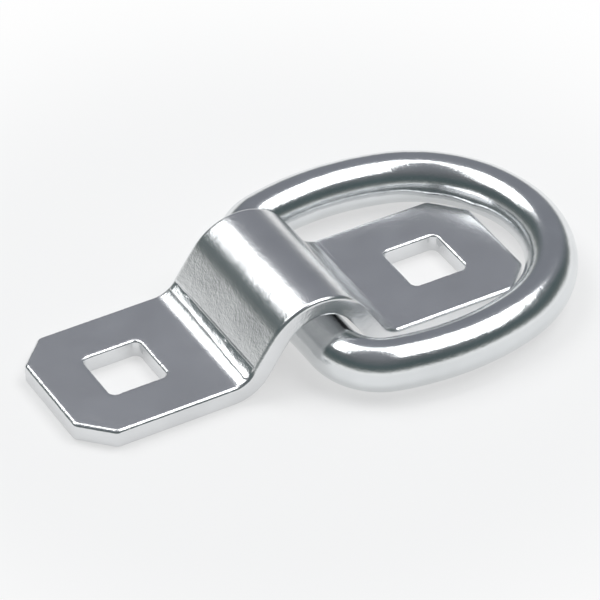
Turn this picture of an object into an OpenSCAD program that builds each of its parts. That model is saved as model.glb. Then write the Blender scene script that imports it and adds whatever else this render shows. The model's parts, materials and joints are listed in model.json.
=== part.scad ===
// Bolt-on D-ring: a bent strap with two bolt-down feet, and a closed ring
// of round bar whose straight side turns under the strap's saddle.
// Millimetres. The origin lies midway between the two bolt holes on the
// mounting face, +X points along the foot that the ring lies round, +Z up.

/* [Strap] */
// Width of the flat bar
strap_w = 38.1; // [32:0.1:46]
// Thickness of the flat bar
strap_t = 4.6; // [3:0.1:6]
// Radius of the rolled edges on the upper face
top_edge_r = 0.9; // [0.3:0.1:1.4]
// Radius of the edges on the mounting face
base_edge_r = 0.4; // [0.2:0.1:1]

/* [Feet] */
// Distance between the centres of the two bolt holes
hole_pitch = 78.5; // [74:0.5:110]
// Side of each square bolt hole
hole_w = 14.3; // [10:0.1:17]
// Radius in the corners of a bolt hole
hole_corner_r = 1.6; // [0.4:0.1:3]
// Radius rolled round the upper rim of a bolt hole by the punch
hole_rim_r = 0.6; // [0.2:0.1:1.2]
// Metal between a hole and the end of its foot
end_margin = 12.1; // [9:0.1:20]
// Length of the cut across each corner, along either edge
corner_cut = 7.2; // [3:0.1:9]

/* [Saddle] */
// Slope of the saddle's two sides where they meet the foot bends, in degrees
side_slope = 58; // [50:0.5:68]
// How far each side bows on its way up to the crown, in degrees
side_bow = 3; // [1:0.5:8]
// Upper radius of the bend between a foot and the saddle
foot_bend_r = 6; // [3:0.1:9]
// Room above the bar, up to the crown
bar_headroom = 4.2; // [2:0.1:7]
// Difference between the crown's inner radius and the bar's radius
crown_ease = 3.35; // [2:0.05:5]
// Gap between the bar and the saddle's side that it rests beside
bar_side_gap = 0.9; // [0.4:0.05:1.6]

/* [Ring] */
// Diameter of the round bar
bar_d = 12.3; // [9:0.1:16]
// Length of straight bar that shows past each edge of the strap
bar_overhang = -0.2; // [-0.4:0.1:3]
// Inner radius of the corners beside the straight bar
corner_inner_r = 5.85; // [4:0.05:9]
// How far the arms bow out past the corners
arm_bow = 1.6; // [0.6:0.1:4]
// How much less the nose's radius is than half of the ring's width
nose_tuck = 1.25; // [0.5:0.05:4]
// Room between the nose and the cut corners of the foot inside it
nose_gap = 0.42; // [0.3:0.02:4]

/* [Hidden] */
$fn = 96;

bar_r = bar_d / 2;

// Foot ends
foot_end = hole_pitch / 2 + hole_w / 2 + end_margin;

// Side view of the strap, a chain of tangent arcs on its mounting face:
// the crown, a side that is bowed a little, and the bend into the foot
crown_r = bar_r + crown_ease;
tunnel_h = bar_d + bar_headroom;
base_bend_r = foot_bend_r + strap_t;
side_top = side_slope - side_bow;
side_drop = tunnel_h - crown_r * (1 - cos(side_top)) - base_bend_r * (1 - cos(side_slope));
side_r = tidy(0.001, side_drop / (cos(side_top) - cos(side_slope)));

// Centres of those arcs in the side view, the foot bend's from the side's
side_at = [0, base_bend_r] + (side_r + base_bend_r) * [0, -cos(side_slope)]
    - (side_r - crown_r) * [sin(side_top), 0];
bend_at = [side_at.x + (side_r + base_bend_r) * sin(side_slope), base_bend_r];
crown_at = [0, side_at.y + (side_r - crown_r) * cos(side_top)];

// Pivot axis of the ring, along Y
pivot_z = bar_r;
pivot_x = side_at.x + sqrt(pow(side_r - bar_r - bar_side_gap, 2) - pow(pivot_z - side_at.y, 2));

// Size of the ring, from the bar in the tunnel out to the nose's centre
corner_r = corner_inner_r + bar_r;
straight_goal = strap_w / 2 + bar_overhang;
ring_half_w = straight_goal + corner_r + arm_bow;
nose_r = ring_half_w - nose_tuck;
nose_free_r = nose_r - bar_r - nose_gap;
nose_run = foot_end - pivot_x - corner_r - min(
    sqrt(pow(nose_free_r, 2) - pow(strap_w / 2 - corner_cut, 2)),
    sqrt(pow(nose_free_r, 2) - pow(strap_w / 2, 2)) + corner_cut);

// An arm's arc touches the corner's and the nose's, so its radius solves a
// quadratic in the root of its excess over the nose and the half width
run_excess = pow(nose_run, 2) - arm_bow * (straight_goal - corner_r + nose_r);
root_tuck = nose_run * sqrt(nose_tuck);
arm_root = run_excess / (root_tuck + sqrt(pow(root_tuck, 2) + (arm_bow - nose_tuck) * run_excess));
arm_r = tidy(0.001, (pow(arm_root, 2) + nose_r + ring_half_w) / 2);
arm_start = tidy(0.01, asin((straight_goal + arm_r - ring_half_w) / (arm_r - corner_r)));
arm_end = tidy(0.01, 180 - asin((arm_r - ring_half_w) / (arm_r - nose_r)));

// The straight bar takes up the hundredths that those three leave over
straight_half = (arm_r - corner_r) * sin(arm_start) - (arm_r - nose_r) * sin(arm_end);

// Centres of the three arcs, from the pivot axis
corner_at = [corner_r, straight_half];
arm_at = corner_at + (arm_r - corner_r) * [cos(arm_start), -sin(arm_start)];
nose_at = arm_at + (arm_r - nose_r) * [-cos(arm_end), sin(arm_end)];

// A value rounded to whole steps
function tidy(step, value) = round(value / step) * step;

// Puts what follows at a point of its plane, first to a hundredth of a
// millimetre and then by the rest
module at(point) {
    near = [for (value = point) tidy(0.01, value)];
    translate([near.x, near.y, 0]) translate([point.x - near.x, point.y - near.y, 0]) children();
}

// Section of a plate of the given width, its mounting face along y = 0
module plate_section(width) {
    union() {
        for (side = [-1, 1]) {
            translate([side * (width / 2 - base_edge_r), base_edge_r]) circle(base_edge_r);
            translate([side * (width / 2 - top_edge_r), strap_t - top_edge_r]) circle(top_edge_r);
        }
        translate([-width / 2, base_edge_r]) square([width, strap_t - base_edge_r - top_edge_r]);
        translate([base_edge_r - width / 2, 0]) square([width - 2 * base_edge_r, strap_t / 2]);
        translate([top_edge_r - width / 2, strap_t / 2]) square([width - 2 * top_edge_r, strap_t / 2]);
    }
}

// Plate lying on the mounting face, endless along the direction given
module endless_plate(width, direction) {
    rotate([90, 0, direction + 90])
        linear_extrude(4 * foot_end, center = true) plate_section(width);
}

// Bend of the strap in the side view, between two polar angles. The
// mounting face is at face_r, on the inner side of the bend or the outer.
module strap_arc(face_r, from, to, inside) {
    rotate_extrude(angle = to - from, start = from)
        translate([face_r, 0]) rotate(inside ? -90 : 90) plate_section(strap_w);
}

// Outline of a square bolt hole, its corners rounded
module hole_outline() {
    inner = hole_w - 2 * hole_corner_r;
    union() {
        square([hole_w, inner], center = true);
        square([inner, hole_w], center = true);
        for (x = [-1, 1], y = [-1, 1]) translate([x, y] * inner / 2) circle(hole_corner_r);
    }
}

// What the punch's roll takes off beside a wall at the distance given
module rim_profile(wall) {
    translate([wall, strap_t - hole_rim_r]) difference() {
        square([hole_rim_r, 2 * hole_rim_r]);
        translate([hole_rim_r, 0]) circle(hole_rim_r);
    }
}

// Square bolt hole through a foot, with its rolled upper rim
module bolt_hole() {
    inner = hole_w - 2 * hole_corner_r;
    translate([0, 0, -strap_t]) linear_extrude(3 * strap_t) hole_outline();
    for (quarter = [0, 90, 180, 270]) rotate([0, 0, quarter]) {
        rotate([90, 0, 0]) linear_extrude(inner, center = true) rim_profile(hole_w / 2);
        translate([inner / 2, inner / 2, 0]) rotate_extrude(angle = 90) rim_profile(hole_corner_r);
    }
}

// Flat foot from its bend to its cut corners, on the side that +X points to
module foot() {
    cut_reach = (foot_end + strap_w / 2 - corner_cut) / sqrt(2);
    difference() {
        intersection() {
            endless_plate(strap_w, 0);
            endless_plate(2 * foot_end, 90);
            endless_plate(2 * cut_reach, 45);
            endless_plate(2 * cut_reach, -45);
            at([bend_at.x, 0]) translate([0, -strap_w, -strap_t]) cube([foot_end, 2 * strap_w, 3 * strap_t]);
        }
        translate([hole_pitch / 2, 0, 0]) bolt_hole();
    }
}

// The bent strap, one piece
module bracket() {
    color([0.60, 0.62, 0.65]) union() {
        rotate([90, 0, 0]) at(crown_at) strap_arc(crown_r, 90 - side_top, 90 + side_top, true);
        for (flip = [0, 1]) mirror([flip, 0, 0]) {
            rotate([90, 0, 0]) at(side_at) strap_arc(side_r, 90 - side_slope, 90 - side_top, true);
            rotate([90, 0, 0]) at(bend_at) strap_arc(base_bend_r, 270 - side_slope, 270, false);
            foot();
        }
    }
}

// Round bar along an arc in the ring's plane, between two polar angles
module bar_arc(radius, from, to) {
    rotate_extrude(angle = to - from, start = from) translate([radius, 0]) circle(bar_r);
}

// The closed ring, lying flat round the foot on the side that +X points to
module d_ring() {
    color([0.70, 0.72, 0.74]) translate([pivot_x, 0, pivot_z]) union() {
        for (flip = [0, 1]) mirror([0, flip, 0]) {
            at([0, straight_half]) rotate([90, 0, 0]) cylinder(h = 1.5 * straight_half, r = bar_r);
            at(corner_at) bar_arc(corner_r, 180 - arm_start, 180);
            at(arm_at) bar_arc(arm_r, 180 - arm_end, 180 - arm_start);
        }
        at([nose_at.x, 0]) bar_arc(nose_r, arm_end - 180, 180 - arm_end);
    }
}

bracket();
d_ring();
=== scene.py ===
"""Bolt-on D-ring: a bent, zinc plated strap that holds a swinging ring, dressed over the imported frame."""

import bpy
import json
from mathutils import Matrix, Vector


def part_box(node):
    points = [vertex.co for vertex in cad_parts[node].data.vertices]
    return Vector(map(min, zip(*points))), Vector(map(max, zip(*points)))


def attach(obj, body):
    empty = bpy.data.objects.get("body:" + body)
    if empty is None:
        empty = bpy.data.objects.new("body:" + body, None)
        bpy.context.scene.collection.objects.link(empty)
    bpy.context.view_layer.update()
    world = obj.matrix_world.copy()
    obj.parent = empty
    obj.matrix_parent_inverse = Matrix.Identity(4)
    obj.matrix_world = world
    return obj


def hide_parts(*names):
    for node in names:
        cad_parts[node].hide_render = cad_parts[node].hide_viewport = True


bl_info = {
    "name": "Bolt-on D-ring",
    "version": (1, 0, 0),
    "blender": (4, 5, 0),
    "location": "View3D > Sidebar > D-ring",
    "description": "Builds the plated strap, the swinging ring and the studio round the packed frame",
    "category": "Object",
}

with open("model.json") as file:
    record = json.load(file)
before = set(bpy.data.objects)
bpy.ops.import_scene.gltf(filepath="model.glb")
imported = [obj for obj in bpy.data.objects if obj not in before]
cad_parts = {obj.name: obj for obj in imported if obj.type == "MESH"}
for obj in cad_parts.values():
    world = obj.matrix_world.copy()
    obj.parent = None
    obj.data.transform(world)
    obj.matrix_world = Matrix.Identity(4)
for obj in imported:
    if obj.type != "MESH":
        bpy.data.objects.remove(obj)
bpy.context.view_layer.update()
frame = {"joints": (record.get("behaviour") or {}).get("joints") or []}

import json
import math
from types import SimpleNamespace

import bmesh
import bpy
import numpy as np
from bpy.props import FloatProperty, FloatVectorProperty, IntProperty, PointerProperty
from mathutils import Matrix

MM = 0.001
STRAP_LOW, STRAP_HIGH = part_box("bracket")
RING_LOW, RING_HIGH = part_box("d_ring")
PIVOT = frame["joints"][0]["pos_m"]


# Helpers


def in_millimetres(group):
    """A group's values by name, its lengths in millimetres and its angles in radians."""
    values = {}
    for name in group.__annotations__:
        value = getattr(group, name)
        if group.bl_rna.properties[name].unit == "LENGTH":
            value = value / MM
        values[name] = value
    return SimpleNamespace(**values)


def soft_noise(points, size, seed):
    """Smooth random value from -1 to 1 at each point. Random numbers stand on a lattice whose cells have
    the given size, and 6t^5 - 15t^4 + 10t^3 blends the eight corners of the cell that holds the point."""
    cells = 32
    lattice = np.random.default_rng(seed).uniform(-1.0, 1.0, (cells, cells, cells))
    place = points / np.asarray(size) + 0.37 * seed
    low = np.floor(place).astype(int)
    t = place - low
    t = t * t * t * (t * (6.0 * t - 15.0) + 10.0)
    total = np.zeros(points.shape[:-1])
    for corner in np.ndindex(2, 2, 2):
        index = (low + corner) % cells
        weight = np.prod(np.where(corner, t, 1.0 - t), axis=-1)
        total += weight * lattice[index[..., 0], index[..., 1], index[..., 2]]
    return total


def ease(low, high, value):
    """0 below low, 1 above high, and 3t^2 - 2t^3 between."""
    t = np.clip((value - low) / (high - low), 0.0, 1.0)
    return t * t * (3.0 - 2.0 * t)


def hump(centre, width, value):
    """A smooth bump of height 1 at the centre that has died away one width to either side."""
    return np.exp(-4.0 * ((value - centre) / width) ** 2)


def steps(start, stop, size):
    """Even steps from start to stop, none longer than size."""
    return np.linspace(start, stop, max(1, math.ceil(abs(stop - start) / size - 1e-9)) + 1)


def arc_chain(runs, start, heading, along):
    """Points and headings at the lengths given along a chain of tangent runs. A run is a length and the
    angle that it turns to the left. Its curvature k is angle over length, and after a length l it has gone
    (sin(h + k l) - sin h) / k across and (cos h - cos(h + k l)) / k up from where it began, at heading h."""
    lengths = np.array([run[0] for run in runs])
    turns = np.array([run[1] for run in runs])
    bends = np.where(turns == 0.0, 1e-9, turns) / lengths
    begins = np.concatenate([[0.0], np.cumsum(lengths)])[:-1]
    headings = heading + np.concatenate([[0.0], np.cumsum(turns)])[:-1]
    ends = headings + bends * lengths
    moves = np.stack([np.sin(ends) - np.sin(headings), np.cos(headings) - np.cos(ends)], axis=1)
    moves = moves / bends[:, None]
    starts = np.asarray(start) + np.concatenate([np.zeros((1, 2)), np.cumsum(moves, axis=0)])[:-1]
    run = np.clip(np.searchsorted(begins, along, side="right") - 1, 0, len(runs) - 1)
    h0 = headings[run]
    h = h0 + bends[run] * (along - begins[run])
    move = np.stack([np.sin(h) - np.sin(h0), np.cos(h0) - np.cos(h)], axis=-1)
    return starts[run] + move / bends[run][..., None], h


def grid_quads(rows, columns, closed_rows=False, closed_columns=False):
    """Corner numbers of the quads of a grid of points, in rows and columns that may close on themselves."""
    row = np.arange(rows if closed_rows else rows - 1)[:, None]
    column = np.arange(columns if closed_columns else columns - 1)[None, :]
    next_row = (row + 1) % rows
    next_column = (column + 1) % columns
    corners = (row * columns + column, next_row * columns + column,
               next_row * columns + next_column, row * columns + next_column)
    return np.stack([np.broadcast_to(corner, (row.size, column.size)) for corner in corners], -1).reshape(-1, 4)


def weld(grids, tolerance=1e-4):
    """One set of points and quads from grids that meet. A grid is its points, an array of rows, columns and
    values with the place in the first three, and its quads. Points of one place become one."""
    values = np.concatenate([grid.reshape(-1, grid.shape[-1]) for grid, quads in grids])
    begins = np.cumsum([0] + [grid.shape[0] * grid.shape[1] for grid, quads in grids])
    quads = np.concatenate([quads + begin for (grid, quads), begin in zip(grids, begins)])
    keys = np.round(values[:, :3] / tolerance + 0.217).astype(np.int64)
    unused, first, number = np.unique(keys, axis=0, return_index=True, return_inverse=True)
    return values[first], number.reshape(-1)[quads]


def rounded_path(corners, radius, size, closed=False):
    """Points along straight runs whose corners are rounded to the radius, and the direction to the left of
    the path at each. Steps are no longer than size, and each run and each corner has whole steps."""
    corners = np.asarray(corners, float)
    count = len(corners)
    ahead = np.roll(corners, -1, axis=0) - corners
    heading = np.arctan2(ahead[:, 1], ahead[:, 0])
    inner = range(count) if closed else range(1, count - 1)
    turn = {i: (heading[i] - heading[i - 1] + math.pi) % (2.0 * math.pi) - math.pi for i in inner}
    cut = {i: radius * math.tan(abs(turn[i]) / 2.0) for i in inner}
    points = []
    left = []
    for i in range(count if closed else count - 1):
        length = np.linalg.norm(ahead[i])
        along = steps(cut.get(i, 0.0), length - cut.get((i + 1) % count, 0.0), size)
        direction = np.array([math.cos(heading[i]), math.sin(heading[i])])
        side = np.array([-direction[1], direction[0]])
        points.append(corners[i] + along[:, None] * direction)
        left.append(np.broadcast_to(side, (len(along), 2)))
        j = (i + 1) % count
        if j in turn:
            bend = math.copysign(radius, turn[j])
            centre = points[-1][-1] + bend * side
            angle = heading[i] + steps(0.0, turn[j], size / radius)[1:-1]
            around = np.stack([-np.sin(angle), np.cos(angle)], axis=1)
            points.append(centre - bend * around)
            left.append(around)
    return np.concatenate(points), np.concatenate(left)


def finished_mesh(name, points, quads):
    """A smooth mesh object at the origin, from points in millimetres, with its faces turned outwards."""
    mesh = bpy.data.meshes.new(name)
    mesh.from_pydata((points * MM).tolist(), [], quads.tolist())
    shell = bmesh.new()
    shell.from_mesh(mesh)
    bmesh.ops.recalc_face_normals(shell, faces=shell.faces)
    open_edges = sum(not edge.is_manifold for edge in shell.edges)
    shell.to_mesh(mesh)
    shell.free()
    if open_edges:
        raise RuntimeError(f"{name} has {open_edges} open edges")
    mesh.polygons.foreach_set("use_smooth", np.ones(len(mesh.polygons), bool))
    mesh.update()
    piece = bpy.data.objects.new(name, mesh)
    bpy.context.scene.collection.objects.link(piece)
    return piece


def add_attribute(piece, name, values):
    """Gives each point of a piece a number or a vector that its material can read."""
    kind = "FLOAT_VECTOR" if values.ndim == 2 else "FLOAT"
    layer = piece.data.attributes.new(name, kind, "POINT")
    layer.data.foreach_set("vector" if values.ndim == 2 else "value", np.ascontiguousarray(values, np.float32).ravel())


# Strap


class StrapSizes(bpy.types.PropertyGroup):
    """Sizes of the bent strap."""
    width: FloatProperty(name="Width", description="Width of the flat bar", default=38.1 * MM, unit="LENGTH")
    thickness: FloatProperty(name="Thickness", description="Thickness of the flat bar", default=4.6 * MM,
                             unit="LENGTH")
    foot_end: FloatProperty(name="Foot end", description="From the middle to the end of a foot",
                            default=58.5 * MM, unit="LENGTH")
    hole_at: FloatProperty(name="Hole", description="From the middle to a bolt hole's centre",
                           default=39.25 * MM, unit="LENGTH")
    hole: FloatProperty(name="Hole side", description="Side of each square bolt hole", default=14.3 * MM,
                        unit="LENGTH")
    hole_corner: FloatProperty(name="Hole corner", description="Radius in a bolt hole's corners",
                               default=1.6 * MM, unit="LENGTH")
    cut: FloatProperty(name="Corner cut", description="Length that each corner's cut takes off an edge",
                       default=7.2 * MM, unit="LENGTH")
    tunnel: FloatProperty(name="Tunnel height", description="Height of the saddle's tunnel",
                          default=16.5 * MM, unit="LENGTH")
    crown: FloatProperty(name="Crown radius", description="Radius inside the crown", default=9.5 * MM,
                         unit="LENGTH")
    bend: FloatProperty(name="Foot bend", description="Upper radius of the bend into a foot",
                        default=6.0 * MM, unit="LENGTH")
    slope: FloatProperty(name="Slope", description="Slope of the saddle's sides at the bend",
                         default=math.radians(58.0), subtype="ANGLE", unit="ROTATION")
    bow: FloatProperty(name="Bow", description="Angle that each side bows on its way up",
                       default=math.radians(3.0), subtype="ANGLE", unit="ROTATION")
    top_roll: FloatProperty(name="Top edge", description="Radius rolled on the upper edges", default=0.9 * MM,
                            unit="LENGTH")
    base_roll: FloatProperty(name="Base edge", description="Radius on the edges of the mounting face",
                             default=0.4 * MM, unit="LENGTH")
    hole_roll: FloatProperty(name="Hole rim", description="Radius rolled round a hole's upper rim",
                             default=0.6 * MM, unit="LENGTH")


def strap_runs(strap):
    """Tangent runs of the strap's middle line, from the left foot's end to the right foot's end: foot, bend,
    side, crown, side, bend, foot. The side's radius r closes the height: tunnel height less crown radius times
    (1 - cos of its half angle) less bend radius times (1 - cos slope), over the difference of the cosines."""
    top = strap.slope - strap.bow
    outer_bend = strap.bend + strap.thickness
    drop = strap.tunnel - strap.crown * (1.0 - math.cos(top)) - outer_bend * (1.0 - math.cos(strap.slope))
    side = drop / (math.cos(top) - math.cos(strap.slope))
    bend_start = (side + outer_bend) * math.sin(strap.slope) - (side - strap.crown) * math.sin(top)
    half = strap.thickness / 2.0
    foot = (strap.foot_end - bend_start, 0.0)
    bend = ((strap.bend + half) * strap.slope, strap.slope)
    flank = ((side + half) * strap.bow, -strap.bow)
    crown = (2.0 * (strap.crown + half) * top, -2.0 * top)
    return [foot, bend, flank, crown, flank, bend, foot]


def plate_to_space(strap, place):
    """Carries points of the flat plate onto the bent strap. A point is its length from the middle, its place
    across and its height in the thickness. It stands on the middle line at its length, moved by its height
    less half of the thickness along the line's left hand direction, which points up on a foot."""
    runs = strap_runs(strap)
    whole = sum(run[0] for run in runs)
    line, heading = arc_chain(runs, (-strap.foot_end, strap.thickness / 2.0), 0.0, place[:, 0] + whole / 2.0)
    height = place[:, 2] - strap.thickness / 2.0
    return np.stack([line[:, 0] - height * np.sin(heading), place[:, 1],
                     line[:, 1] + height * np.cos(heading)], axis=1)


def edge_section(strap, roll, base, inset):
    """Rows of the section across an edge, from the upper face round to the mounting face: how far each lies in
    from the wall, and its height. Two quarter circles join the wall to the faces."""
    top = np.linspace(0.0, math.pi / 2.0, 8)
    wall = np.linspace(strap.thickness - roll, base, 9)[1:-1]
    low = np.linspace(0.0, math.pi / 2.0, 4)
    inward = np.concatenate([[inset], roll * (1.0 - np.sin(top)), 0.0 * wall, base * (1.0 - np.cos(low)), [inset]])
    height = np.concatenate([[strap.thickness], strap.thickness - roll * (1.0 - np.cos(top)), wall,
                             base * (1.0 - np.sin(low)), [0.0]])
    return inward, height


def edge_band(outline, left, section, kind):
    """Grid of an edge: the section is carried round the outline, whose left hand side is the metal. Values a
    point has after its place: the direction out of the metal, its distance in from the wall, and the kind."""
    inward, height = section
    grid = np.zeros((len(outline), len(inward), 7))
    grid[..., :2] = outline[:, None, :] + inward[None, :, None] * left[:, None, :]
    grid[..., 2] = height
    grid[..., 3:5] = -left[:, None, :]
    grid[..., 5] = inward
    grid[..., 6] = kind
    return grid


def face_grid(places, height):
    """Grid of the upper or the mounting face, from places on the flat plate."""
    grid = np.zeros(places.shape[:2] + (7,))
    grid[..., :2] = places
    grid[..., 2] = height
    grid[..., 5] = 9.0
    return grid


LONG_EDGE = 1.0
END_EDGE = 2.0
HOLE_EDGE = 3.0


def foot_grids(strap, seam, across, inset, size):
    """Grids of the right foot: its edge, its hole's wall, and both faces between hole and edge. A face's rows
    are straight lines from the hole's rim to the foot's outline, whose four corners go to the hole's four."""
    runs = strap_runs(strap)
    end = sum(run[0] for run in runs) / 2.0
    half = strap.width / 2.0
    cut = strap.cut
    corner = 1.9
    outline = [(seam, -half), (end - cut, -half), (end, cut - half), (end, half - cut), (end - cut, half),
               (seam, half)]
    edge, left = rounded_path(outline, corner, size)
    grids = []
    band = edge_band(edge, left, edge_section(strap, strap.top_roll, strap.base_roll, inset), END_EDGE)
    long_side = np.abs(left[:, 1]) > 0.999
    band[long_side, :, 6] = LONG_EDGE
    grids.append((band, grid_quads(*band.shape[:2])))
    rim = edge + inset * left
    seam_line = np.stack([np.full(len(across), seam), across[::-1]], axis=1)
    outer = np.concatenate([rim, seam_line[1:-1]])
    hole_inset = strap.hole_roll + 0.35
    centre = np.array([end - strap.foot_end + strap.hole_at, 0.0])
    square = strap.hole / 2.0 * np.array([(-1, -1), (1, -1), (1, 1), (-1, 1)])
    fine, fine_left = rounded_path(square[::-1], strap.hole_corner, 0.02, closed=True)
    fine = np.concatenate([fine, fine[:1]])
    fine_left = np.concatenate([fine_left, fine_left[:1]])
    fine_length = np.concatenate([[0.0], np.cumsum(np.linalg.norm(np.diff(fine, axis=0), axis=1))])

    def length_at(direction):
        """Length along the hole's wall where it faces the direction given from its centre."""
        return fine_length[np.argmax(fine[:-1] @ np.asarray(direction, float))]

    outer_length = np.concatenate([[0.0], np.cumsum(np.linalg.norm(np.diff(outer, axis=0), axis=1))])
    whole = fine_length[-1]
    marks = []
    for place in ((end, -half), (end, half)):
        marks.append(np.argmin(np.abs(outer - (np.array(place) + (-cut / 2.0, math.copysign(cut / 2.0, -place[1])))).sum(1)))
    marks = [0, marks[0], marks[1], len(rim) - 1, len(outer)]
    lengths = np.append(outer_length, outer_length[-1] + np.linalg.norm(outer[-1] - outer[0]))
    hole_marks = [length_at(direction) for direction in ((-1, -1), (1, -1), (1, 1), (-1, 1))]
    hole_marks = -np.unwrap(np.array(hole_marks + hole_marks[:1]) * 2.0 * math.pi / -whole) * whole / 2.0 / math.pi
    target = np.interp(outer_length, lengths[marks], hole_marks) % whole
    wall = np.stack([np.interp(target, fine_length, fine[:, i]) for i in (0, 1)], axis=1) + centre
    wall_left = np.stack([np.interp(target, fine_length, fine_left[:, i]) for i in (0, 1)], axis=1)
    wall_left /= np.linalg.norm(wall_left, axis=1)[:, None]
    hole = edge_band(wall, wall_left, edge_section(strap, strap.hole_roll, 0.25, hole_inset), HOLE_EDGE)
    grids.append((hole, grid_quads(*hole.shape[:2], closed_rows=True)))
    inner = wall + hole_inset * wall_left
    share = steps(0.0, 1.0, 1.0 / 24.0)[None, :, None]
    places = inner[:, None, :] * (1.0 - share) + outer[:, None, :] * share
    for height in (strap.thickness, 0.0):
        face = face_grid(places, height)
        grids.append((face, grid_quads(*face.shape[:2], closed_rows=True)))
    return grids


def mirrored(grids):
    """The same grids on the left foot."""
    flipped = []
    for grid, quads in grids:
        other = grid.copy()
        other[..., 0] *= -1.0
        other[..., 3] *= -1.0
        flipped.append((other, quads))
    return flipped


def strap_grids(strap, size):
    """All grids of the flat plate: the middle's two faces and two edges, and the two feet."""
    runs = strap_runs(strap)
    bend_end = sum(run[0] for run in runs) / 2.0 - runs[0][0]
    bend_start = bend_end - runs[1][0]
    seam = bend_end + 1.6
    inset = strap.top_roll + 0.4
    half = strap.width / 2.0
    across = steps(inset - half, half - inset, size)
    along = np.unique(np.round(np.concatenate([
        steps(-seam, -bend_end, 0.4),
        steps(-bend_end, 1.0 - bend_start, 0.17),
        steps(1.0 - bend_start, bend_start - 0.5, size),
        steps(bend_start - 0.5, bend_end, 0.2),
        steps(bend_end, seam, 0.25)]), 9))
    section = edge_section(strap, strap.top_roll, strap.base_roll, inset)
    grids = []
    for side in (-1.0, 1.0):
        outline = np.stack([along, np.full(len(along), side * half)], axis=1)
        left = np.broadcast_to(np.array([0.0, -side]), outline.shape)
        band = edge_band(outline, left, section, LONG_EDGE)
        grids.append((band, grid_quads(*band.shape[:2])))
    foot = foot_grids(strap, seam, across, inset, size)
    grids += foot + mirrored(foot)
    places = np.stack(np.meshgrid(along, across, indexing="ij"), axis=-1)
    for height in (strap.thickness, 0.0):
        face = face_grid(places, height)
        grids.append((face, grid_quads(*face.shape[:2])))
    return grids


def strap_relief(strap, values):
    """Moves the plate's points from the plain shape to the worked one. The moves are in the plate's own
    length, width and height, and each is a function of where the point lies."""
    place = values[:, :3].copy()
    outward = values[:, 3:5]
    inward = values[:, 5]
    kind = values[:, 6]
    s, y, n = place.T
    thick = strap.thickness
    flat = np.stack([s, y, 0.0 * s], axis=1)
    on_top = ease(thick - 1.1, thick - 0.1, n)
    away_from_rim = ease(0.0, 1.2, inward)

    # Rolling waves of the bar stock and of the plating
    wave = 0.030 * soft_noise(flat, (9.0, 7.0, 1.0), 3) + 0.010 * soft_noise(flat, (2.6, 2.2, 1.0), 4)
    height = on_top * (wave - 0.04)

    # Shelf that the punch left across the left bend: a lip, a ramp and a step
    drift = 0.045 * -y + 0.35 * soft_noise(flat, (1.0, 5.0, 1.0), 11) + 0.12 * soft_noise(flat, (1.0, 1.2, 1.0), 12)
    lip = 23.45
    near_lip = np.clip(1.0 - np.abs(-s - lip) / 3.0, 0.0, 1.0)
    shift = on_top * near_lip * drift * ease(18.9, 17.5, np.abs(y))
    length = s - shift
    ramp_end = 20.2
    x = lip + s
    lip_height = 0.30
    dip = 0.34
    shelf = np.select(
        [x < -0.34, x < 0.0, x < lip - ramp_end, x < lip - ramp_end + 0.5],
        [0.0, lip_height * (1.0 + x / 0.34),
         lip_height - (lip_height + dip) * x / (lip - ramp_end),
         -dip * (1.0 - (x - lip + ramp_end) / 0.5)], 0.0)
    within = ease(-18.3, -17.6, y) * ease(18.4, 17.0, y)
    height = height + on_top * within * shelf * (1.0 + 0.2 * soft_noise(flat, (1.2, 2.0, 1.0), 13))

    # Fine die lines along the right bend
    for centre, tall, broad, seed in ((28.2, 0.07, 0.35, 21), (27.2, -0.06, 0.4, 22), (25.2, 0.05, 0.4, 23),
                                      (23.0, -0.05, 0.5, 24), (21.2, 0.06, 0.4, 25)):
        wander = 0.12 * soft_noise(flat, (1.0, 6.0, 1.0), seed)
        height = height + on_top * tall * hump(centre + wander, broad, s) * ease(19.0, 18.0, np.abs(y))

    # Edges: the shear's roll is ragged, and below it the metal tore a little inwards
    along_edge = np.stack([s, y, 0.0 * s], axis=1)
    sheared = kind >= END_EDGE
    rag = 0.5 + 0.5 * soft_noise(along_edge, (0.9, 0.9, 1.0), 31)
    bite = 0.5 + 0.5 * soft_noise(along_edge, (0.35, 0.35, 1.0), 32)
    at_roll = hump(0.35, 0.8, inward) * ease(thick - 1.6, thick - 0.5, n)
    sink = -np.where(sheared, 0.12, 0.03) * (0.6 * rag + 0.4 * bite) * at_roll
    tear = ease(2.6, 2.1, n + 0.5 * soft_noise(along_edge, (2.2, 2.2, 1.0), 33)) * np.where(sheared, 0.07, 0.0)
    lines = 0.02 * soft_noise(along_edge, (0.28, 0.28, 1.0), 34) * np.where(kind == HOLE_EDGE, 1.6, 0.8)
    wall = ease(0.5, 0.1, inward) * ease(thick - 0.5, thick - 1.2, n)
    push = -(tear + 0.02 + lines * np.where(sheared, 1.0, 0.4)) * wall
    moved = np.stack([length, y, n + height + sink], axis=1)
    moved[:, :2] += outward * push[:, None]
    return moved, wave * away_from_rim


class DRING_OT_strap(bpy.types.Operator):
    """Makes the bent strap, over the CAD bracket"""
    bl_idname = "dring.strap"
    bl_label = "Strap"

    def execute(self, context):
        strap = in_millimetres(context.scene.dring_strap)
        values, quads = weld(strap_grids(strap, 0.47))
        moved, wave = strap_relief(strap, values)
        piece = finished_mesh("strap", plate_to_space(strap, moved), quads)
        add_attribute(piece, "plate", values[:, :3] * MM)
        rim = np.exp(-((values[:, 5] ** 2 + (values[:, 2] - strap.thickness) ** 2) / 0.8))
        add_attribute(piece, "rim", rim)
        wall = ease(0.5, 0.1, values[:, 5]) * ease(strap.thickness - 0.3, strap.thickness - 0.9, values[:, 2])
        add_attribute(piece, "wall", wall)
        piece.data.materials.append(strap_zinc())
        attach(piece, "bracket")
        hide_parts("bracket")
        return {"FINISHED"}


# Ring


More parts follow.
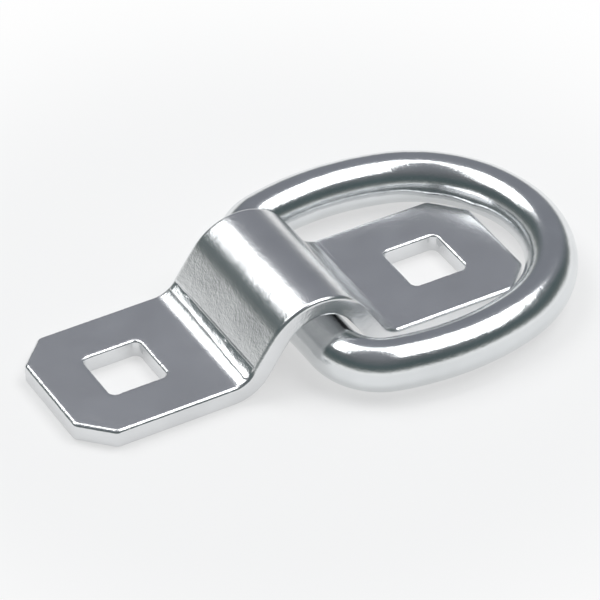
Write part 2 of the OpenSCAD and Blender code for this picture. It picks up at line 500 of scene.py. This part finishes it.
class RingSizes(bpy.types.PropertyGroup):
    """Sizes of the swinging ring."""
    bar: FloatProperty(name="Bar", description="Diameter of the round bar", default=12.3 * MM, unit="LENGTH")
    half_width: FloatProperty(name="Half width", description="From the middle out to an arm's centre line",
                              default=32.45 * MM, unit="LENGTH")
    straight: FloatProperty(name="Straight half", description="Half of the straight side's length",
                            default=18.8495 * MM, unit="LENGTH", precision=5)
    corner: FloatProperty(name="Corner radius", description="Radius of the corners' centre line",
                          default=12.0 * MM, unit="LENGTH")
    arm: FloatProperty(name="Arm radius", description="Radius of the arms' centre line",
                       default=62.432 * MM, unit="LENGTH")
    nose: FloatProperty(name="Nose radius", description="Radius of the nose's centre line",
                        default=31.2 * MM, unit="LENGTH")


def ring_runs(ring):
    """Tangent runs of the ring's centre line, round from the middle of the straight side: half of that side,
    corner, arm, nose, arm, corner, and the other half. Each join lies on the line through two centres, so the
    sine of its angle is the difference of the centres' heights over the difference of the radii."""
    first = math.asin((ring.straight + ring.arm - ring.half_width) / (ring.arm - ring.corner))
    last = math.asin((ring.arm - ring.half_width) / (ring.arm - ring.nose))
    corner = (ring.corner * first, -first)
    arm = (ring.arm * (math.pi - first - last), first + last - math.pi)
    nose = (ring.nose * 2.0 * last, -2.0 * last)
    side = (ring.straight, 0.0)
    return [side, corner, arm, nose, arm, corner, side]


class DRING_OT_ring(bpy.types.Operator):
    """Makes the swinging ring, over the CAD ring"""
    bl_idname = "dring.ring"
    bl_label = "Ring"

    def execute(self, context):
        ring = in_millimetres(context.scene.dring_ring)
        runs = ring_runs(ring)
        whole = sum(run[0] for run in runs)
        pivot = np.array(PIVOT) / MM
        around = 84
        rows = 560
        along = np.linspace(0.0, whole, rows, endpoint=False)
        line, heading = arc_chain(runs, (pivot[0], 0.0), math.pi / 2.0, along)
        outward = np.stack([-np.sin(heading), np.cos(heading), 0.0 * heading], axis=1)
        angle = np.linspace(0.0, 2.0 * math.pi, around, endpoint=False)
        centre = np.concatenate([line, np.full((rows, 1), pivot[2])], axis=1)
        direction = np.cos(angle)[None, :, None] * outward[:, None, :]
        direction = direction + np.sin(angle)[None, :, None] * np.array([0.0, 0.0, 1.0])
        smooth = centre[:, None, :] + ring.bar / 2.0 * direction
        wave = 0.030 * soft_noise(smooth, (8.0, 8.0, 5.0), 41) + 0.012 * soft_noise(smooth, (2.4, 2.4, 2.4), 42)
        radius = ring.bar / 2.0 - 0.045 + wave
        points = centre[:, None, :] + radius[..., None] * direction
        quads = grid_quads(rows, around, closed_rows=True, closed_columns=True)
        piece = finished_mesh("ring", points.reshape(-1, 3), quads)
        turn = np.broadcast_to(angle[None, :], (rows, around)).ravel()
        run = np.broadcast_to(along[:, None], (rows, around)).ravel()
        bar = np.stack([run, ring.bar / 2.0 * np.cos(turn), ring.bar / 2.0 * np.sin(turn)], axis=1)
        add_attribute(piece, "bar", bar * MM)
        piece.data.materials.append(ring_zinc())
        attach(piece, "d_ring")
        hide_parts("d_ring")
        return {"FINISHED"}


# Finishes


class ZincLook(bpy.types.PropertyGroup):
    """Colours of the bright zinc plating."""
    strap_colour: FloatVectorProperty(name="Strap", description="Plating on the strap", subtype="COLOR",
                                      default=(0.78, 0.79, 0.80), min=0.0, max=1.0)
    ring_colour: FloatVectorProperty(name="Ring", description="Plating on the ring", subtype="COLOR",
                                     default=(0.76, 0.78, 0.79), min=0.0, max=1.0)


def wire(tree, source, target):
    """Joins an output socket to an input socket."""
    tree.links.new(source, target)


def node(tree, kind, **settings):
    """A node of the kind given. Names of its inputs set their values, and other names its settings."""
    made = tree.nodes.new(kind)
    inputs = settings.pop("inputs", {})
    for name, value in settings.items():
        setattr(made, name, value)
    for name, value in inputs.items():
        if isinstance(value, bpy.types.NodeSocket):
            wire(tree, value, made.inputs[name])
        else:
            made.inputs[name].default_value = value
    return made


def group_of(name, inputs, outputs):
    """An empty shader group with the named input and output sockets, and its two end nodes."""
    tree = bpy.data.node_groups.new(name, "ShaderNodeTree")
    for label, kind, default in inputs:
        socket = tree.interface.new_socket(label, in_out="INPUT", socket_type=kind)
        if default is not None:
            socket.default_value = default
    for label, kind in outputs:
        tree.interface.new_socket(label, in_out="OUTPUT", socket_type=kind)
    return tree, node(tree, "NodeGroupInput"), node(tree, "NodeGroupOutput")


def zinc_grain_group():
    """Grain of the plating: two sizes of noise, as a height and as a speckle."""
    name = "zinc grain"
    if name in bpy.data.node_groups:
        return bpy.data.node_groups[name]
    tree, start, end = group_of(
        name,
        (("Place", "NodeSocketVector", None), ("Size", "NodeSocketFloat", 0.00035)),
        (("Height", "NodeSocketFloat"), ("Speckle", "NodeSocketFloat")))
    scale = node(tree, "ShaderNodeMath", operation="DIVIDE", inputs={0: 1.0, 1: start.outputs["Size"]})
    fine = node(tree, "ShaderNodeTexNoise", noise_dimensions="3D",
                inputs={"Vector": start.outputs["Place"], "Scale": scale.outputs[0], "Detail": 1.5,
                        "Roughness": 0.6})
    coarse_scale = node(tree, "ShaderNodeMath", operation="MULTIPLY", inputs={0: scale.outputs[0], 1: 0.37})
    coarse = node(tree, "ShaderNodeTexNoise", noise_dimensions="3D",
                  inputs={"Vector": start.outputs["Place"], "Scale": coarse_scale.outputs[0], "Detail": 2.0,
                          "Roughness": 0.5})
    part = node(tree, "ShaderNodeMath", operation="MULTIPLY", inputs={0: coarse.outputs[0], 1: 1.1})
    total = node(tree, "ShaderNodeMath", operation="ADD", inputs={0: fine.outputs[0], 1: part.outputs[0]})
    wire(tree, total.outputs[0], end.inputs["Height"])
    wire(tree, fine.outputs[0], end.inputs["Speckle"])
    return tree


def zinc_material(name, colour, grain, depth, roughness):
    """Bright zinc plating, with the parts that the strap and the ring share."""
    material = bpy.data.materials.new(name)
    material.use_nodes = True
    tree = material.node_tree
    tree.nodes.clear()
    place = node(tree, "ShaderNodeTexCoord")
    shader = node(tree, "ShaderNodeBsdfPrincipled", inputs={"Metallic": 1.0, "Roughness": roughness})
    output = node(tree, "ShaderNodeOutputMaterial", inputs={"Surface": shader.outputs[0]})
    plating = node(tree, "ShaderNodeGroup", node_tree=zinc_grain_group())
    wire(tree, place.outputs["Object"], plating.inputs["Place"])
    plating.inputs["Size"].default_value = grain
    bump = node(tree, "ShaderNodeBump", inputs={"Strength": 1.0, "Distance": depth,
                                                "Height": plating.outputs["Height"]})
    wire(tree, bump.outputs[0], shader.inputs["Normal"])
    drift = node(tree, "ShaderNodeTexNoise", inputs={"Vector": place.outputs["Object"], "Scale": 90.0,
                                                     "Detail": 2.0})
    ramp = node(tree, "ShaderNodeMapRange", inputs={"Value": drift.outputs[0], "From Min": 0.3,
                                                    "From Max": 0.7, "To Min": 0.94, "To Max": 1.03})
    tint = node(tree, "ShaderNodeMix", data_type="RGBA", blend_type="MULTIPLY")
    tint.inputs["Factor"].default_value = 1.0
    tint.inputs[6].default_value = (*colour, 1.0)
    wire(tree, ramp.outputs[0], tint.inputs[7])
    wire(tree, tint.outputs[2], shader.inputs["Base Color"])
    return material


def strap_zinc():
    """Satin zinc on the strap."""
    look = bpy.context.scene.dring_zinc
    return zinc_material("strap zinc", look.strap_colour, 0.42 * MM, 0.030 * MM, 0.24)


def ring_zinc():
    """Brighter zinc on the ring."""
    look = bpy.context.scene.dring_zinc
    return zinc_material("ring zinc", look.ring_colour, 0.5 * MM, 0.022 * MM, 0.17)


# Studio


class StudioLook(bpy.types.PropertyGroup):
    """The camera and the soft lights."""
    azimuth: FloatProperty(name="Azimuth", description="Camera's turn about the object",
                           default=math.radians(-30.415), subtype="ANGLE", unit="ROTATION")
    elevation: FloatProperty(name="Elevation", description="Camera's height above the horizon",
                             default=math.radians(38.624), subtype="ANGLE", unit="ROTATION")
    roll: FloatProperty(name="Roll", description="Camera's roll", default=math.radians(0.461),
                        subtype="ANGLE", unit="ROTATION")
    lens: FloatProperty(name="Lens", description="Focal length on a 36 mm sensor, in mm", default=250.01)
    aim: FloatVectorProperty(name="Aim", description="The origin's place from the camera: right, down, forward",
                             default=(-5.212 * MM, 6.404 * MM, 949.24 * MM), unit="LENGTH", precision=6)
    panel: FloatProperty(name="Panels", description="Brightness of the overhead panels", default=3.4)
    room: FloatProperty(name="Room", description="Brightness of the room round the object", default=1.0)


def add_camera(studio):
    """A camera that sees the object as the photograph does. Its back direction follows from azimuth and
    elevation, the roll turns right and up about it, and its place is where the origin lies at the aim."""
    a, e, roll = studio.azimuth, studio.elevation, studio.roll
    back = np.array([math.sin(a) * math.cos(e), -math.cos(a) * math.cos(e), math.sin(e)])
    right = np.cross(-back, (0.0, 0.0, 1.0))
    right = right / np.linalg.norm(right)
    up = np.cross(right, -back)
    right, up = (math.cos(roll) * right + math.sin(roll) * up, math.cos(roll) * up - math.sin(roll) * right)
    aim = np.array(studio.aim)
    place = -(aim[0] * right - aim[1] * up - aim[2] * back)
    lens = bpy.data.cameras.new("camera")
    lens.sensor_width = 36.0
    lens.lens = studio.lens
    lens.clip_start = 0.01
    lens.clip_end = 60.0
    camera = bpy.data.objects.new("camera", lens)
    axes = np.eye(4)
    axes[:3, 0], axes[:3, 1], axes[:3, 2], axes[:3, 3] = right, up, back, place
    camera.matrix_world = Matrix(axes.tolist())
    bpy.context.scene.collection.objects.link(camera)
    bpy.context.scene.camera = camera


def add_panel(name, centre, size, brightness, height=1.8, tilt=0.0, colour=(1.0, 1.0, 1.0)):
    """A soft panel at the height given, facing down. Its centre and size are shares of that height, and its
    watts come from its area times pi times the brightness that it shows."""
    lamp = bpy.data.lights.new(name, "AREA")
    lamp.shape = "RECTANGLE"
    lamp.size = size[0] * height
    lamp.size_y = size[1] * height
    lamp.energy = brightness * math.pi * lamp.size * lamp.size_y
    lamp.color = colour
    panel = bpy.data.objects.new(name, lamp)
    panel.location = (centre[0] * height, centre[1] * height, height)
    panel.rotation_euler = (0.0, 0.0, tilt)
    panel.visible_camera = False
    bpy.context.scene.collection.objects.link(panel)


def add_floor():
    """A white floor that keeps the object's shadow, and shows white past it."""
    mesh = bpy.data.meshes.new("floor")
    far = 40.0
    mesh.from_pydata([(-far, -far, 0.0), (far, -far, 0.0), (far, far, 0.0), (-far, far, 0.0)], [], [(0, 1, 2, 3)])
    mesh.transform(Matrix.Translation((0.0, 0.0, -0.15 * MM)))
    floor = bpy.data.objects.new("floor", mesh)
    bpy.context.scene.collection.objects.link(floor)
    material = bpy.data.materials.new("white floor")
    material.use_nodes = True
    tree = material.node_tree
    tree.nodes.clear()
    diffuse = node(tree, "ShaderNodeBsdfDiffuse", inputs={"Color": (0.86, 0.86, 0.86, 1.0)})
    glow = node(tree, "ShaderNodeEmission", inputs={"Color": (1.0, 1.0, 1.0, 1.0), "Strength": 1.0})
    path = node(tree, "ShaderNodeLightPath")
    seen = node(tree, "ShaderNodeMath", operation="MAXIMUM",
                inputs={0: path.outputs["Is Camera Ray"], 1: path.outputs["Is Glossy Ray"]})
    seen = node(tree, "ShaderNodeMath", operation="MAXIMUM",
                inputs={0: seen.outputs[0], 1: path.outputs["Is Transmission Ray"]})
    place = node(tree, "ShaderNodeTexCoord")
    reach = node(tree, "ShaderNodeVectorMath", operation="LENGTH", inputs={0: place.outputs["Object"]})
    share = node(tree, "ShaderNodeMapRange", interpolation_type="SMOOTHSTEP",
                 inputs={"Value": reach.outputs["Value"], "From Min": 0.07, "From Max": 0.16,
                         "To Min": 0.55, "To Max": 1.0})
    factor = node(tree, "ShaderNodeMath", operation="MULTIPLY", inputs={0: seen.outputs[0], 1: share.outputs[0]})
    mix = node(tree, "ShaderNodeMixShader", inputs={0: factor.outputs[0], 1: diffuse.outputs[0],
                                                    2: glow.outputs[0]})
    node(tree, "ShaderNodeOutputMaterial", inputs={"Surface": mix.outputs[0]})
    mesh.materials.append(material)


def add_room(studio):
    """The room that the metal mirrors: pale at the horizon, dark above it, and grey behind the object."""
    world = bpy.data.worlds.new("room")
    bpy.context.scene.world = world
    world.use_nodes = True
    tree = world.node_tree
    tree.nodes.clear()
    place = node(tree, "ShaderNodeTexCoord")
    parts = node(tree, "ShaderNodeSeparateXYZ", inputs={"Vector": place.outputs["Generated"]})
    ramp = node(tree, "ShaderNodeValToRGB", inputs={"Fac": parts.outputs["Z"]})
    stops = ramp.color_ramp.elements
    stops[0].position = 0.0
    stops[0].color = (1.0, 1.0, 1.0, 1.0)
    stops[1].position = 1.0
    stops[1].color = (0.22, 0.23, 0.25, 1.0)
    for position, colour in ((0.06, (0.9, 0.9, 0.9)), (0.14, (0.35, 0.37, 0.36)), (0.26, (0.12, 0.14, 0.14)),
                             (0.5, (0.08, 0.11, 0.115)), (0.8, (0.15, 0.16, 0.17))):
        stop = stops.new(position)
        stop.color = (*colour, 1.0)
    ahead = node(tree, "ShaderNodeVectorMath", operation="DOT_PRODUCT",
                 inputs={0: place.outputs["Generated"], 1: (0.47, 0.64, 0.60)})
    patch = node(tree, "ShaderNodeMapRange", interpolation_type="SMOOTHSTEP",
                 inputs={"Value": ahead.outputs["Value"], "From Min": 0.72, "From Max": 0.95,
                         "To Min": 0.0, "To Max": 1.0})
    mix = node(tree, "ShaderNodeMix", data_type="RGBA")
    wire(tree, patch.outputs[0], mix.inputs["Factor"])
    wire(tree, ramp.outputs["Color"], mix.inputs[6])
    mix.inputs[7].default_value = (0.235, 0.245, 0.275, 1.0)
    background = node(tree, "ShaderNodeBackground", inputs={"Color": mix.outputs[2], "Strength": studio.room})
    node(tree, "ShaderNodeOutputWorld", inputs={"Surface": background.outputs[0]})


class DRING_OT_studio(bpy.types.Operator):
    """Makes the camera, the panels, the room and the floor"""
    bl_idname = "dring.studio"
    bl_label = "Studio"

    def execute(self, context):
        studio = context.scene.dring_studio
        add_camera(studio)
        add_panel("panel_left", (-0.33, 0.62), (0.80, 0.86), studio.panel, tilt=0.12)
        add_panel("panel_right", (0.50, -0.12), (0.70, 0.95), studio.panel, tilt=0.0)
        add_floor()
        add_room(studio)
        context.scene.view_settings.view_transform = "Standard"
        return {"FINISHED"}


class DRING_PT_panel(bpy.types.Panel):
    """Lists the pieces of the bolt-on D-ring"""
    bl_label = "Bolt-on D-ring"
    bl_idname = "DRING_PT_panel"
    bl_space_type = "VIEW_3D"
    bl_region_type = "UI"
    bl_category = "D-ring"

    def draw(self, context):
        for group_name, operator in (("dring_strap", "dring.strap"), ("dring_ring", "dring.ring"),
                                     ("dring_zinc", None), ("dring_studio", "dring.studio")):
            box = self.layout.box()
            group = getattr(context.scene, group_name)
            for name in group.__annotations__:
                box.prop(group, name)
            if operator:
                box.operator(operator)


CLASSES = (StrapSizes, RingSizes, ZincLook, StudioLook, DRING_OT_studio, DRING_OT_strap, DRING_OT_ring,
           DRING_PT_panel)
GROUPS = {"dring_strap": StrapSizes, "dring_ring": RingSizes, "dring_zinc": ZincLook, "dring_studio": StudioLook}


def register():
    """Registers the classes and puts their settings on the scene."""
    for cls in CLASSES:
        bpy.utils.register_class(cls)
    for name, cls in GROUPS.items():
        setattr(bpy.types.Scene, name, PointerProperty(type=cls))


def unregister():
    """Takes the settings and the classes away again."""
    for name in GROUPS:
        delattr(bpy.types.Scene, name)
    for cls in reversed(CLASSES):
        bpy.utils.unregister_class(cls)


def main():
    register()
    bpy.ops.dring.studio()
    bpy.ops.dring.strap()
    bpy.ops.dring.ring()


if __name__ == "__main__":
    main()
